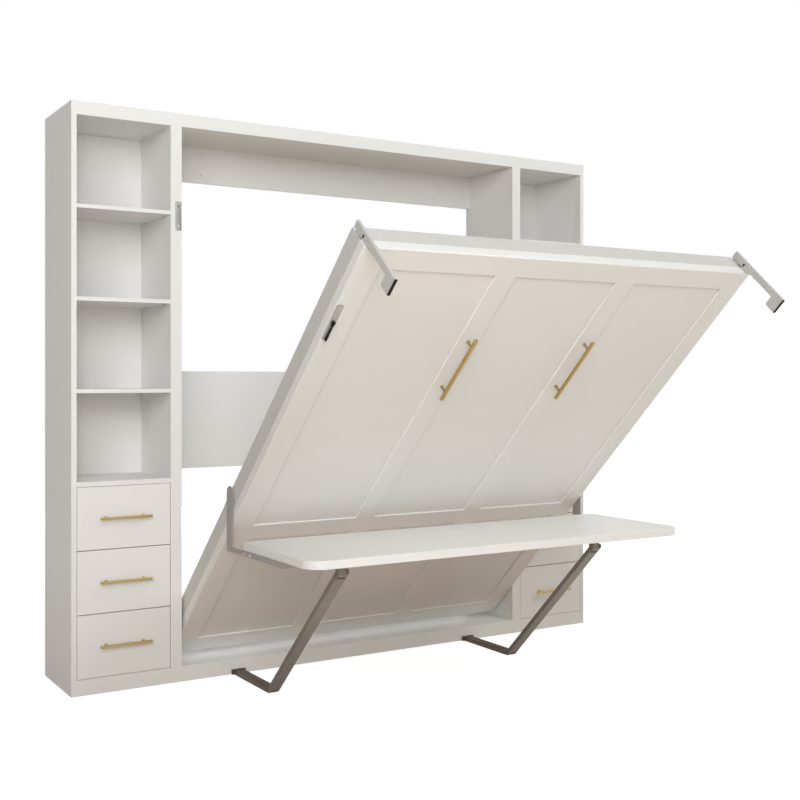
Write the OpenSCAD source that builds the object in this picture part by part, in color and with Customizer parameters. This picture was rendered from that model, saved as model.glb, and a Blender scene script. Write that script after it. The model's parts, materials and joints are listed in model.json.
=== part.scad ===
// Wall bed with a fold-down desk between two columns of shelves and drawers.
// Millimetres, +Z up. The origin lies on the floor under the middle of the cabinet,
// and the front of the cabinet faces -Y. The bed is drawn half open, as it rests.

/* [Cabinet] */
// Width over both columns
cab_w = 2520; // [2500:10:2700]
// Depth of the cabinet
cab_d = 345; // [335:5:420]
// Height of the cabinet
cab_h = 2200; // [2200:10:2400]
// Thickness of the two outer sides
outer_t = 20; // [16:1:28]
// Clear width of a column
column_w = 372; // [340:1:380]
// Thickness of the boards of a column
board_t = 18; // [16:1:20]
// Thickness of the uprights that carry the bed
upright_t = 28; // [25:1:30]
// Height of the band across the top
fascia_h = 50; // [40:1:60]
// Height of the plinth
plinth_h = 60; // [50:1:60]
// Thickness of the column backs
back_t = 9; // [6:1:12]
// How far the backs sit in from the rear
back_inset = 18; // [12:1:20]
// Height of the rail behind the bay, under the top
top_rail_h = 150; // [100:5:200]
// Height of the lower edge of the board behind the bay
mid_board_z = 798; // [700:1:900]
// Height of the board behind the bay
mid_board_h = 407; // [300:1:500]

/* [Shelves and drawers] */
// Height of the deck above the drawers
deck_top = 791; // [760:1:820]
// Thickness of a shelf
shelf_t = 15; // [12:1:18]
// Height of the underside of the top shelf
shelf_top_z = 1806.5; // [1780:0.5:1830]
// Height of the underside of the bottom shelf
shelf_low_z = 1120; // [1100:1:1140]
// Drawers in a column
drawer_n = 3; // [3:1:3]
// Gap round a drawer front
front_gap = 3; // [2:0.5:4]
// Space behind a drawer box
box_rear_gap = 30; // [10:1:60]
// Height of a drawer box
box_h = 165; // [120:5:180]
// Thickness of the walls of a drawer box
box_wall = 12; // [9:1:15]
// Thickness of a drawer's bottom
box_floor = 6; // [4:1:9]
// Thickness of the fixed drawer runners
runner_t = 12.2; // [10:0.1:13]
// Side play between a drawer box and its runners
runner_gap = 0.5; // [0.4:0.1:1]

/* [Bed] */
// Gap at each side of the bed in its bay
bed_gap = 10; // [10:0.5:14]
// Gap between the closed bed and the floor board of its bay
bed_lift = 12; // [12:1:20]
// Gap between the closed bed and the top of its bay
head_gap = 28; // [28:1:60]
// Thickness of the front panel with its frame
face_t = 35; // [30:1:36]
// Depth of the recessed fields in the front
recess = 7; // [4:1:10]
// Depth of the steel frame behind the front panel
rail_h = 58.5; // [50:0.5:60]
// Width of the side rails
rail_w = 30; // [26:1:40]
// Wall of the steel channels
steel_t = 3; // [2:0.5:4]
// Width of the outer stiles of the front
stile_w = 88; // [70:1:110]
// Width of the mullions and of the middle rail of the front
mullion_w = 84; // [60:1:100]
// Width of the bottom rail of the front
face_foot_w = 92; // [70:1:110]
// Width of the top rail of the front
face_head_w = 78; // [70:1:100]
// Height of the middle rail of the front, above the bed's lower end
face_mid_z = 712; // [650:1:760]
// Slats under the mattress
slat_n = 13; // [10:1:16]
// Width of a slat
slat_w = 70; // [50:1:90]
// Thickness of a slat
slat_t = 12; // [10:1:18]

/* [Linkage] */
// Angle that the bed has swung down from upright in the rest pose
rest_angle = 44.28; // [0:0.01:90]
// Distance of the bed pivot behind the front
pivot_d = 54; // [50:1:60]
// Height of the bed pivot
pivot_z = 231.9; // [228:0.1:236]
// Distance from the bed pivot up the closed bed to the desk pivot
link_l = 708.8; // [690:0.1:712]
// How much further back the desk pivot lies than the bed pivot
link_d = 4; // [3:0.1:12]
// Distance of the floor pivots in front of the cabinet
foot_pivot_y = 300; // [295:1:335]
// Half the distance between the two struts
strut_x = 570; // [500:1:600]
// How far both struts stand to the right of the middle
strut_shift = -10; // [-16:1:0]
// Width of a strut
strut_w = 43; // [34:1:44]
// Thickness of a strut
strut_t = 17; // [16:1:18]
// How far the struts run past their upper pins
strut_nose = 22; // [10:1:26]
// Width of the tongues on the floor bars
tongue_w = 17.4; // [14:0.1:18]
// Thickness of the cheeks at the upper ends of the struts
cheek_t = 5; // [3:0.5:7]
// Radius of the bed pivot pins
bed_pin_r = 8; // [6:0.5:10]
// Radius of the pins of the desk arms
arm_pin_r = 5; // [4:0.5:5]
// Radius of the pins of the struts
strut_pin_r = 4; // [3:0.5:4]

/* [Desk] */
// Height of the arms' pivots above the desk top
desk_drop = 134; // [130:1:146]
// Thickness of the desk top
desk_t = 28; // [25:1:30]
// Depth of the desk top
desk_d = 485; // [420:5:500]
// Distance of the desk's back edge in front of the arms' pivots
desk_setback = 75; // [70:1:96]
// Radius of the front corners
desk_front_r = 65; // [40:1:80]
// Radius of the back corners
desk_back_r = 18; // [10:1:25]
// Thickness of the steel arms
arm_t = 6; // [5:1:6]
// Width of the upright limb of an arm
arm_w = 43; // [40:1:44]
// Height of the arms above their pivots
arm_head = 52; // [34:1:54]
// How far the arms reach behind their pivots
arm_behind = 34; // [29:1:34]
// Length of the arms' lower edge in front of the desk's back edge
arm_reach = 317; // [267:1:347]
// Length of the slanted end of an arm
arm_taper = 87; // [40:1:100]
// Height of the lower limb of an arm
arm_h = 17; // [14:1:24]
// Width of the tube under the desk at each arm
tube_w = 36; // [25:1:50]

/* [Legs and latch] */
// Thickness of the folding legs
leg_t = 10; // [8:1:10]
// Width of the leg bars
leg_w = 26; // [20:1:26]
// Reach of the legs in front of the bed
leg_reach = 177.6; // [170:0.1:180]
// Height of a leg's foot plate
leg_foot_w = 57; // [40:1:60]
// Length of a leg's foot plate
leg_foot_l = 44; // [30:1:50]
// Thickness of the rubber under the legs
pad_t = 3; // [3:1:6]
// Radius of the leg bolts
leg_pin_r = 5; // [4:0.5:5]
// Length of the latch lever
lever_l = 87; // [80:1:95]
// Distance of the lever's pivot below the bed's upper end
hub_drop = 284.4; // [260:0.1:310]
// Height of the lock plate
lock_h = 139; // [100:1:160]
// Height of the strike plate
strike_h = 112; // [90:1:150]

/* [Handles] */
// Length of a bed handle
bed_handle_l = 272; // [220:1:320]
// Distance between the posts of a bed handle
bed_post_gap = 206; // [160:1:220]
// Radius of a bed handle
bed_handle_r = 6.5; // [5:0.5:8]
// Length of a drawer handle
drawer_handle_l = 204; // [160:1:240]
// Distance between the posts of a drawer handle
drawer_post_gap = 148; // [96:1:160]
// Radius of a drawer handle
drawer_handle_r = 5; // [4:0.5:6]

/* [Hidden] */
$fn = 64;

paint = [0.93, 0.925, 0.91];
pale_steel = [0.80, 0.80, 0.79];
mid_steel = [0.52, 0.50, 0.47];
brass = [0.78, 0.62, 0.34];
nickel = [0.72, 0.70, 0.66];
wood = [0.80, 0.68, 0.50];
rubber = [0.08, 0.08, 0.08];
blue_grey = [0.72, 0.74, 0.76];

// running clearance of the hinge pins, and the looser one where the linkage is open
pin_play = 0.05;
link_play = 0.35;
fork_play = 0.3;
cut = 1;

front_y = -cab_d / 2;
rear_y = cab_d / 2;
half_w = cab_w / 2;
ceiling_z = cab_h - fascia_h;
column_x1 = half_w - outer_t;
column_x0 = column_x1 - column_w;
column_x = (column_x0 + column_x1) / 2;
inner_x0 = column_x0 - board_t;
bay_x = inner_x0 - upright_t;
back_y = rear_y - back_inset - back_t;
rail_back_y = back_y + board_t;
deck_z = deck_top - board_t;
shelf_zs = [shelf_low_z, (shelf_top_z + shelf_low_z) / 2, shelf_top_z];
bearer_w = 40;
bearer_inset = 27.5;
pivot_plate_t = 3;
pivot_plate_w = 60;
pivot_plate_h = 90;
fixing_x = 600;
fixing_z = 40;
fixing_r = 4;
pin_inset = 60;
shelf_pin_r = 2.5;
shelf_pin_l = 8;

pitch = (deck_z - plinth_h) / drawer_n;
side_gap = 2;
front_w = column_w - 2 * side_gap;
front_h = pitch - front_gap;
box_l = back_y - box_rear_gap - front_y - board_t;
box_w = column_w - 2 * (runner_t + runner_gap);
box_lift = 20;
runner_h = 35;
runner_lift = 30;
runner_inset = 4;

half_bed = bay_x - bed_gap;
bed_w = 2 * half_bed;
bed_z0 = plinth_h + bed_lift;
bed_z1 = ceiling_z - head_gap;
rail_y0 = front_y + face_t;
rail_y1 = rail_y0 + rail_h;
rail_x0 = half_bed - rail_w;
web_x = half_bed - steel_t;
foot_rail_h = 40;
pivot_y = front_y + pivot_d;
slat_low = 70;
slat_high = 80;

// a vector (y, z) turned about X
function turn(v, a) = [v[0] * cos(a) - v[1] * sin(a), v[0] * sin(a) + v[1] * cos(a)];
link_rest = turn([link_d, link_l], rest_angle);
arm_pivot = [pivot_y + link_rest[0], pivot_z + link_rest[1]];
foot_pivot = [front_y - foot_pivot_y, strut_t / 2];
desk_pivot = foot_pivot + link_rest;
strut_angle = atan2(link_rest[1], -link_rest[0]);
strut_l = norm(link_rest);
strut_end = strut_t / 2;
root_gap = 3;
bar_flange_w = 60;
bar_flange_t = 10;
bar_flange_lip = 3;

desk_y1 = arm_pivot[0] - desk_setback;
desk_y0 = desk_y1 - desk_d;
desk_z0 = arm_pivot[1] - desk_drop - desk_t;
arm_z0 = desk_z0 - arm_h;
arm_gap = 2;
arm_x0 = half_bed + arm_gap;
arm_y1 = arm_pivot[0] + arm_behind;
arm_top_z = arm_pivot[1] + arm_head;
arm_tip_low = desk_y1 - arm_reach;
arm_tip_top = arm_tip_low - arm_taper;
tube_inset = 7;
tube_y1 = desk_y1 - tube_inset;
bolt_r = 5;
bolt_head = 2.5;
bolt_inset = 32;
bolt_gap = 47;
boss_r = 13;
boss_t = 1.6;
arm_pin_end = 0.6;

hinge_r = 11;
hinge_gap = 4;
hinge_tongue_w = strut_w - 2 * cheek_t - 2 * fork_play;
hinge_plate = 60;
hinge_plate_t = 4;
hinge_head_r = 6;
hinge_head_t = 2;

leg_inset = 5;
leg_x1 = half_bed - leg_inset;
leg_x0 = leg_x1 - leg_t;
leg_pivot_d = 66;
leg_pivot_drop = 7;
leg_rear = 27;
leg_end_gap = 1;
leg_pivot = [front_y + leg_pivot_d, bed_z1 - leg_pivot_drop];
leg_z0 = bed_z1 + leg_end_gap;
leg_z1 = leg_z0 + leg_w;
leg_rear_y = leg_pivot[0] + leg_rear;
leg_lug_r = 13;
leg_corner_r = 10;
leg_slot_d = 33;
leg_slot_r = 3;
leg_slot_l = 6;
leg_slot_lift = 8;
leg_root_step = 4;
leg_root_reach = 8;
leg_bolt_l = 4;
leg_foot_y = front_y - leg_reach + pad_t;
flange_margin = 14;
flange_cut = 2 * leg_pivot_drop + leg_end_gap + leg_w + flange_margin;
flange_end_z = bed_z1 - flange_cut;
head_side_gap = 6;

hub_inset = 14;
hub_x = -half_bed + hub_inset;
hub_z = bed_z1 - hub_drop;
hub_r = 7;
hub_head = 2;
lock_w = 24;
lock_t = 2.5;
lock_r = 6;
lever_gap = 1;
lever_y1 = front_y - lock_t - lever_gap;
lever_t = 5;
neck_w = 5;
grip_w = 10;
grip_l = 40;
tip_l = 24;
tip_w = 5;
strike_w = 25;
strike_inset = 1;
strike_x0 = -bay_x - strike_inset - strike_w;
strike_drop = 34.1;
strike_z = hub_z - strike_drop;

bed_handle_x = mullion_w / 2 + (bed_w - 2 * stile_w - 2 * mullion_w) / 6;
bed_handle_drop = 455.5;
bed_handle_z = bed_z1 - bed_handle_drop;
bed_handle_out = 30;
drawer_handle_out = 26;
post_r = 4;

module block(a, b) {
    translate(a) cube(b - a);
}

module both() {
    children();
    mirror([1, 0, 0]) children();
}

// a round bar along X from x0 to x1
module bar_x(x0, x1, r, y, z) {
    translate([x0, y, z]) rotate([0, 90, 0]) cylinder(h = x1 - x0, r = r);
}

// a round bar along Y from y0 to y1
module bar_y(y0, y1, r, x, z) {
    translate([x, y0, z]) rotate([-90, 0, 0]) cylinder(h = y1 - y0, r = r);
}

// an outline drawn in (Y, Z) and given a thickness along X
module side_plate(x0, t) {
    translate([x0, 0, 0]) rotate([90, 0, 90]) linear_extrude(t) children();
}

// turns what is drawn on the closed bed into the rest pose
module on_bed() {
    translate([0, pivot_y, pivot_z])
        rotate([rest_angle, 0, 0])
            translate([0, -pivot_y, -pivot_z]) children();
}

// ---- cabinet ----

module outer_side() {
    difference() {
        block([column_x1, front_y, 0], [half_w, rear_y, cab_h]);
        pin_holes(column_x1 + shelf_pin_l, column_x1 - cut);
    }
}

module pin_holes(xa, xb) {
    for (z = shelf_zs)
        for (y = [front_y + pin_inset, back_y - pin_inset])
            bar_x(min(xa, xb), max(xa, xb), shelf_pin_r, y, z - shelf_pin_r);
}

module upright(x0, x1) {
    block([x0, front_y, plinth_h], [x1, rear_y, ceiling_z]);
    block([x0, front_y + board_t, 0], [x1, rear_y, plinth_h + cut]);
}

module inner_side() {
    difference() {
        upright(inner_x0, column_x0);
        pin_holes(column_x0 - shelf_pin_l, column_x0 + cut);
    }
}

module bed_upright() {
    difference() {
        upright(bay_x, inner_x0);
        bar_x(bay_x - cut, bay_x + board_t, bed_pin_r, pivot_y, pivot_z);
    }
}

module left_outer_side() {
    color(paint) mirror([1, 0, 0]) outer_side();
}

module right_outer_side() {
    color(paint) outer_side();
}

module left_inner_side() {
    color(paint) mirror([1, 0, 0]) inner_side();
}

module right_inner_side() {
    color(paint) inner_side();
}

module left_bed_upright() {
    color(paint) mirror([1, 0, 0]) bed_upright();
}

module right_bed_upright() {
    color(paint) bed_upright();
}

module top_panel() {
    color(paint)
        block([-column_x1, front_y + board_t, ceiling_z], [column_x1, rear_y, ceiling_z + board_t]);
}

module top_fascia() {
    color(paint)
        block([-column_x1, front_y, ceiling_z], [column_x1, front_y + board_t, cab_h]);
}

module plinth() {
    color(paint)
        block([-column_x1, front_y, 0], [column_x1, front_y + board_t, plinth_h]);
}

module base_boards() {
    color(paint) {
        block([-bay_x, front_y + board_t, plinth_h - board_t], [bay_x, rear_y, plinth_h]);
        both() block([column_x0, front_y + board_t, plinth_h - board_t],
                     [column_x1, rear_y, plinth_h]);
    }
}

module floor_bearers() {
    bearer_l = cab_d - 2 * bearer_inset;
    color(paint)
        for (x = [-column_x, -bay_x * 2 / 3, 0, bay_x * 2 / 3, column_x])
            translate([x - bearer_w / 2, -bearer_l / 2, 0])
                cube([bearer_w, bearer_l, plinth_h - board_t]);
}

module column_backs() {
    color(paint)
        both()
            block([column_x0, back_y, plinth_h], [column_x1, back_y + back_t, ceiling_z]);
}

module top_back_rail() {
    middle = ceiling_z - top_rail_h / 2;
    color(paint)
        difference() {
            block([-bay_x, back_y, ceiling_z - top_rail_h], [bay_x, rail_back_y, ceiling_z]);
            for (x = [-fixing_x, fixing_x])
                for (z = [middle - fixing_z, middle + fixing_z])
                    bar_y(back_y - cut, rail_back_y + cut, fixing_r, x, z);
        }
}

module mid_back_board() {
    color(blue_grey)
        block([-bay_x, back_y, mid_board_z], [bay_x, rail_back_y, mid_board_z + mid_board_h]);
}

module shelves() {
    color(paint)
        both()
            for (z = shelf_zs)
                block([column_x0, front_y, z], [column_x1, back_y, z + shelf_t]);
}

module drawer_decks() {
    color(paint)
        both() block([column_x0, front_y, deck_z], [column_x1, back_y, deck_top]);
}

module shelf_pins() {
    color(nickel)
        both()
            for (z = shelf_zs)
                for (y = [front_y + pin_inset, back_y - pin_inset])
                    for (x = [column_x0, column_x1])
                        bar_x(x - shelf_pin_l, x + shelf_pin_l, shelf_pin_r,
                              y, z - shelf_pin_r);
}

function front_z(k) = plinth_h + front_gap / 2 + k * pitch;
function box_z(k) = front_z(k) + box_lift;

module drawer_runners() {
    y0 = front_y + board_t + runner_inset;
    color(nickel)
        both()
            for (k = [0 : drawer_n - 1]) {
                z = box_z(k) + runner_lift;
                block([column_x0, y0, z], [column_x0 + runner_t, y0 + box_l, z + runner_h]);
                block([column_x1 - runner_t, y0, z], [column_x1, y0 + box_l, z + runner_h]);
            }
}

// a bar on the floor that ends in a tongue with a fixed pin
module foot_bar() {
    y1 = foot_pivot[0];
    z = foot_pivot[1];
    root = y1 + strut_end + root_gap;
    block([strut_x - strut_w / 2, root, 0], [strut_x + strut_w / 2, front_y, strut_t]);
    block([strut_x - bar_flange_w / 2, front_y - bar_flange_t, 0],
          [strut_x + bar_flange_w / 2, front_y, strut_t + bar_flange_lip]);
    block([strut_x - tongue_w / 2, y1, 0], [strut_x + tongue_w / 2, root + cut, strut_t]);
    bar_x(strut_x - tongue_w / 2, strut_x + tongue_w / 2, strut_t / 2, y1, z);
    bar_x(strut_x - strut_w / 2, strut_x + strut_w / 2, strut_pin_r, y1, z);
}

module foot_bars() {
    color(mid_steel) translate([strut_shift, 0, 0]) both() foot_bar();
}

// a plate with round corners, drawn in (X, Z), between two depths
module round_plate(x0, x1, z0, z1, y0, y1, r) {
    translate([0, y1, 0])
        rotate([90, 0, 0])
            linear_extrude(y1 - y0) {
                for (x = [x0 + r, x1 - r])
                    for (z = [z0 + r, z1 - r])
                        translate([x, z]) circle(r);
                translate([x0 + r, z0]) square([x1 - x0 - 2 * r, z1 - z0]);
                translate([x0, z0 + r]) square([x1 - x0, z1 - z0 - 2 * r]);
            }
}

module strike_plate() {
    color(nickel)
        round_plate(strike_x0, strike_x0 + strike_w, strike_z - strike_h / 2,
                    strike_z + strike_h / 2, front_y - lock_t, front_y, lock_r);
}

module bed_pivot_pins() {
    color(nickel)
        both() {
            block([bay_x - pivot_plate_t, pivot_y - pivot_plate_w / 2,
                   pivot_z - pivot_plate_h / 2],
                  [bay_x, pivot_y + pivot_plate_w / 2, pivot_z + pivot_plate_h / 2]);
            bar_x(web_x - cut, bay_x + board_t, bed_pin_r, pivot_y, pivot_z);
        }
}

// ---- bed ----

module bed_face_panel() {
    color(paint)
        on_bed()
            block([-half_bed, front_y + recess, bed_z0], [half_bed, rail_y0, bed_z1]);
}

module bed_face_frame() {
    field_w = (bed_w - 2 * stile_w - 2 * mullion_w) / 3;
    low_z0 = bed_z0 + face_foot_w;
    low_z1 = bed_z0 + face_mid_z;
    top_z0 = low_z1 + mullion_w;
    top_z1 = bed_z1 - face_head_w;
    color(paint)
        on_bed()
            difference() {
                block([-half_bed, front_y, bed_z0], [half_bed, front_y + recess, bed_z1]);
                for (k = [0 : 2]) {
                    x = -half_bed + stile_w + k * (field_w + mullion_w);
                    block([x, front_y - cut, low_z0], [x + field_w, rail_y0, low_z1]);
                    block([x, front_y - cut, top_z0], [x + field_w, rail_y0, top_z1]);
                }
            }
}

// a channel that opens inwards, cut back at the head for the folding leg
module side_rail() {
    difference() {
        block([rail_x0, rail_y0, bed_z0], [half_bed, rail_y1, bed_z1]);
        block([rail_x0 - cut, rail_y0 + steel_t, bed_z0 - cut],
              [web_x, rail_y1 - steel_t, bed_z1 + cut]);
        block([rail_x0 - cut, rail_y0 - cut, flange_end_z],
              [web_x, rail_y1 + cut, bed_z1 + cut]);
        bar_x(web_x - cut, half_bed + cut, bed_pin_r + pin_play, pivot_y, pivot_z);
    }
    bar_x(leg_x0 - leg_bolt_l, half_bed, leg_pin_r, leg_pivot[0], leg_pivot[1]);
}

module left_side_rail() {
    color(pale_steel) on_bed() mirror([1, 0, 0]) side_rail();
}

module right_side_rail() {
    color(pale_steel) on_bed() side_rail();
}

// a channel across the bed, open towards the mattress
module end_rail(x1, z0, z1, web_z0) {
    block([-x1, rail_y0, z0], [x1, rail_y0 + steel_t, z1]);
    block([-x1, rail_y1 - steel_t, z0], [x1, rail_y1, z1]);
    block([-x1, rail_y0, web_z0], [x1, rail_y1, web_z0 + steel_t]);
}

module head_rail() {
    color(pale_steel)
        on_bed() end_rail(leg_x0 - head_side_gap, flange_end_z, bed_z1, bed_z1 - steel_t);
}

module foot_rail() {
    color(pale_steel)
        on_bed() end_rail(rail_x0, bed_z0, bed_z0 + foot_rail_h, bed_z0);
}

module bed_slats() {
    first = bed_z0 + slat_low;
    last = flange_end_z - slat_high;
    y = rail_y0 + steel_t;
    color(wood)
        on_bed()
            for (k = [0 : slat_n - 1]) {
                z = first + k * (last - first) / (slat_n - 1);
                block([-web_x, y, z - slat_w / 2], [web_x, y + slat_t, z + slat_w / 2]);
            }
}

// a round bar on two posts, along X, with its back at y = 0
module pull(l, gap, r, out) {
    bar_x(-l / 2, l / 2, r, -out, 0);
    for (s = [-1, 1])
        bar_y(-out, 0, post_r, s * gap / 2, 0);
}

module bed_handles() {
    color(brass)
        on_bed()
            for (s = [-1, 1])
                translate([s * bed_handle_x, front_y, bed_handle_z])
                    rotate([0, 90, 0])
                        pull(bed_handle_l, bed_post_gap, bed_handle_r, bed_handle_out);
}

// the plate at the edge of the front, with the stud that the lever turns on
module lock_plate() {
    color(nickel)
        on_bed() {
            round_plate(-half_bed, -half_bed + lock_w, hub_z - lock_h / 2, hub_z + lock_h / 2,
                        front_y - lock_t, front_y, lock_r);
            bar_y(lever_y1 - lever_t - hub_head, front_y, hub_r / 2, hub_x, hub_z);
        }
}

module arm_pivots() {
    y = pivot_y + link_d;
    z = pivot_z + link_l;
    color(mid_steel)
        on_bed()
            both() {
                bar_x(half_bed, half_bed + boss_t, boss_r, y, z);
                bar_x(half_bed, arm_x0 + arm_t + arm_pin_end, arm_pin_r, y, z);
            }
}

// a lever with a round hub, a thin neck, a wider grip and a narrow tip
module latch_lever() {
    color(rubber)
        on_bed()
            difference() {
                translate([hub_x, lever_y1, hub_z])
                    rotate([90, 0, 0])
                        linear_extrude(lever_t) {
                            circle(hub_r);
                            polygon([[-neck_w / 2, 0], [neck_w / 2, 0],
                                     [grip_w / 2, -lever_l + grip_l],
                                     [grip_w / 2, -lever_l + tip_l],
                                     [-grip_w / 2, -lever_l + tip_l],
                                     [-grip_w / 2, -lever_l + grip_l]]);
                            translate([-tip_w / 2, -lever_l]) square([tip_w, tip_l + cut]);
                        }
                bar_y(lever_y1 - lever_t - cut, lever_y1 + cut, hub_r / 2 + pin_play,
                      hub_x, hub_z);
            }
}

// ---- folding legs ----

module bed_leg() {
    y = leg_pivot[0];
    z = leg_pivot[1];
    foot_y = leg_foot_y + leg_foot_l;
    foot_z = leg_z1 - leg_foot_w;
    slot_z = leg_z0 + leg_slot_lift;
    root_y = front_y - leg_root_reach;
    difference() {
        side_plate(leg_x0, leg_t) {
            translate([root_y, leg_z0]) square([leg_rear_y - root_y, leg_w]);
            translate([leg_foot_y, leg_z0 + leg_root_step])
                square([root_y + cut - leg_foot_y, leg_w - leg_root_step]);
            translate([leg_foot_y, foot_z]) square([leg_foot_l - leg_corner_r, leg_foot_w]);
            translate([foot_y - leg_corner_r, foot_z + leg_corner_r]) circle(leg_corner_r);
            translate([leg_foot_y, foot_z + leg_corner_r])
                square([leg_foot_l, leg_foot_w - leg_corner_r]);
            translate([y - leg_lug_r, z]) square([2 * leg_lug_r, leg_z0 + cut - z]);
            translate([y, z]) circle(leg_lug_r);
        }
        bar_x(leg_x0 - cut, leg_x1 + cut, leg_pin_r + pin_play, y, z);
        for (h = [slot_z, slot_z + leg_slot_l])
            bar_x(leg_x0 - cut, leg_x1 + cut, leg_slot_r, front_y + leg_slot_d, h);
        block([leg_x0 - cut, front_y + leg_slot_d - leg_slot_r, slot_z],
              [leg_x1 + cut, front_y + leg_slot_d + leg_slot_r, slot_z + leg_slot_l]);
    }
}

module leg_pad() {
    block([leg_x0, leg_foot_y - pad_t, leg_z1 - leg_foot_w], [leg_x1, leg_foot_y, leg_z1]);
}

module left_bed_leg() {
    color(pale_steel) on_bed() mirror([1, 0, 0]) bed_leg();
}

module right_bed_leg() {
    color(pale_steel) on_bed() bed_leg();
}

module left_leg_pad() {
    color(rubber) on_bed() mirror([1, 0, 0]) leg_pad();
}

module right_leg_pad() {
    color(rubber) on_bed() leg_pad();
}

// ---- desk and struts ----

module desk_top() {
    rf = desk_front_r;
    rb = desk_back_r;
    color(paint)
        translate([0, 0, desk_z0])
            linear_extrude(desk_t) {
                for (s = [-1, 1]) {
                    translate([s * (arm_x0 - rf), desk_y0 + rf]) circle(rf);
                    translate([s * (arm_x0 - rb), desk_y1 - rb]) circle(rb);
                }
                translate([-arm_x0 + rf, desk_y0]) square([2 * (arm_x0 - rf), desk_d]);
                translate([-arm_x0 + rb, desk_y0 + rf])
                    square([2 * (arm_x0 - rb), desk_d - rf]);
                translate([-arm_x0, desk_y0 + rf])
                    square([2 * arm_x0, desk_d - rf - rb]);
            }
}

module desk_arm() {
    r = arm_w / 2;
    difference() {
        side_plate(arm_x0, arm_t) {
            translate([arm_y1 - arm_w, arm_z0]) square([arm_w, arm_top_z - r - arm_z0]);
            translate([arm_y1 - r, arm_top_z - r]) circle(r);
            polygon([[arm_y1, arm_z0], [arm_y1, desk_z0], [arm_tip_top, desk_z0],
                     [arm_tip_low, arm_z0]]);
        }
        bar_x(arm_x0 - cut, arm_x0 + arm_t + cut, arm_pin_r + pin_play,
              arm_pivot[0], arm_pivot[1]);
    }
    block([arm_x0 - tube_w, arm_tip_low, arm_z0], [arm_x0 + cut, tube_y1, desk_z0]);
}

module desk_arms() {
    color(mid_steel) both() desk_arm();
}

// the bolts that hold the arms to the tubes under the desk
module desk_bolts() {
    z = arm_z0 + arm_h / 2;
    color(nickel)
        both()
            for (y = [desk_y1 - bolt_inset, desk_y1 - bolt_inset - bolt_gap])
                bar_x(arm_x0 + arm_t, arm_x0 + arm_t + bolt_head, bolt_r, y, z);
}

// a plate under the desk with a tongue and the headed pin of a strut
module desk_hinge() {
    y = desk_pivot[0];
    z = desk_pivot[1];
    tongue = hinge_tongue_w / 2;
    head = strut_w / 2 + fork_play;
    block([strut_x - hinge_plate / 2, y - hinge_plate / 2, desk_z0 - hinge_plate_t],
          [strut_x + hinge_plate / 2, y + hinge_plate / 2, desk_z0]);
    block([strut_x - tongue, y - hinge_r, z],
          [strut_x + tongue, y + hinge_r, desk_z0 - hinge_plate_t / 2]);
    bar_x(strut_x - tongue, strut_x + tongue, hinge_r, y, z);
    bar_x(strut_x - head - cut, strut_x + head + cut, strut_pin_r, y, z);
    bar_x(strut_x - head - hinge_head_t, strut_x - head, hinge_head_r, y, z);
    bar_x(strut_x + head, strut_x + head + hinge_head_t, hinge_head_r, y, z);
}

module desk_hinges() {
    color(mid_steel) translate([strut_shift, 0, 0]) both() desk_hinge();
}

// a bar drawn upright from the floor pivot, forked at both ends
module strut_bar() {
    r = strut_end;
    slot = tongue_w + 2 * fork_play;
    root = r + root_gap + cut;
    top_slot = hinge_tongue_w + 2 * fork_play;
    top_root = hinge_r + hinge_gap;
    difference() {
        union() {
            translate([-strut_w / 2, -r, 0]) cube([strut_w, strut_t, strut_l + strut_nose - r]);
            bar_x(-strut_w / 2, strut_w / 2, r, 0, 0);
            bar_x(-strut_w / 2, strut_w / 2, r, 0, strut_l + strut_nose - r);
        }
        translate([-slot / 2, -r - cut, -strut_t])
            cube([slot, strut_t + 2 * cut, strut_t + root]);
        translate([-top_slot / 2, -r - cut, strut_l - top_root])
            cube([top_slot, strut_t + 2 * cut, top_root + strut_nose + cut]);
        bar_x(-strut_w, strut_w, strut_pin_r + pin_play, 0, 0);
        bar_x(-strut_w, strut_w, strut_pin_r + link_play, 0, strut_l);
    }
}

module strut(x) {
    color(mid_steel)
        translate([x, foot_pivot[0], foot_pivot[1]])
            rotate([90 - strut_angle, 0, 0]) strut_bar();
}

module left_strut() {
    strut(strut_shift - strut_x);
}

module right_strut() {
    strut(strut_shift + strut_x);
}

// ---- drawers ----

module drawer_front(s, k) {
    color(paint)
        translate([s * column_x - front_w / 2, front_y, front_z(k)])
            cube([front_w, board_t, front_h]);
}

module drawer_box(s, k) {
    color(paint)
        translate([s * column_x - box_w / 2, front_y + board_t, box_z(k)])
            difference() {
                cube([box_w, box_l, box_h]);
                translate([box_wall, box_wall, box_floor])
                    cube([box_w - 2 * box_wall, box_l - 2 * box_wall, box_h]);
            }
}

module drawer_handle(s, k) {
    color(brass)
        translate([s * column_x, front_y, front_z(k) + front_h / 2])
            pull(drawer_handle_l, drawer_post_gap, drawer_handle_r, drawer_handle_out);
}

left_outer_side();
right_outer_side();
left_inner_side();
right_inner_side();
left_bed_upright();
right_bed_upright();
top_panel();
top_fascia();
plinth();
base_boards();
floor_bearers();
column_backs();
top_back_rail();
mid_back_board();
shelves();
drawer_decks();
shelf_pins();
drawer_runners();
foot_bars();
strike_plate();
bed_pivot_pins();
bed_face_panel();
bed_face_frame();
left_side_rail();
right_side_rail();
head_rail();
foot_rail();
bed_slats();
bed_handles();
lock_plate();
arm_pivots();
latch_lever();
left_bed_leg();
right_bed_leg();
left_leg_pad();
right_leg_pad();
desk_top();
desk_arms();
desk_bolts();
desk_hinges();
left_strut();
right_strut();
drawer_front(-1, 2);  // left_top_drawer_front
drawer_box(-1, 2);  // left_top_drawer_box
drawer_handle(-1, 2);  // left_top_drawer_handle
drawer_front(-1, 1);  // left_mid_drawer_front
drawer_box(-1, 1);  // left_mid_drawer_box
drawer_handle(-1, 1);  // left_mid_drawer_handle
drawer_front(-1, 0);  // left_low_drawer_front
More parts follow.
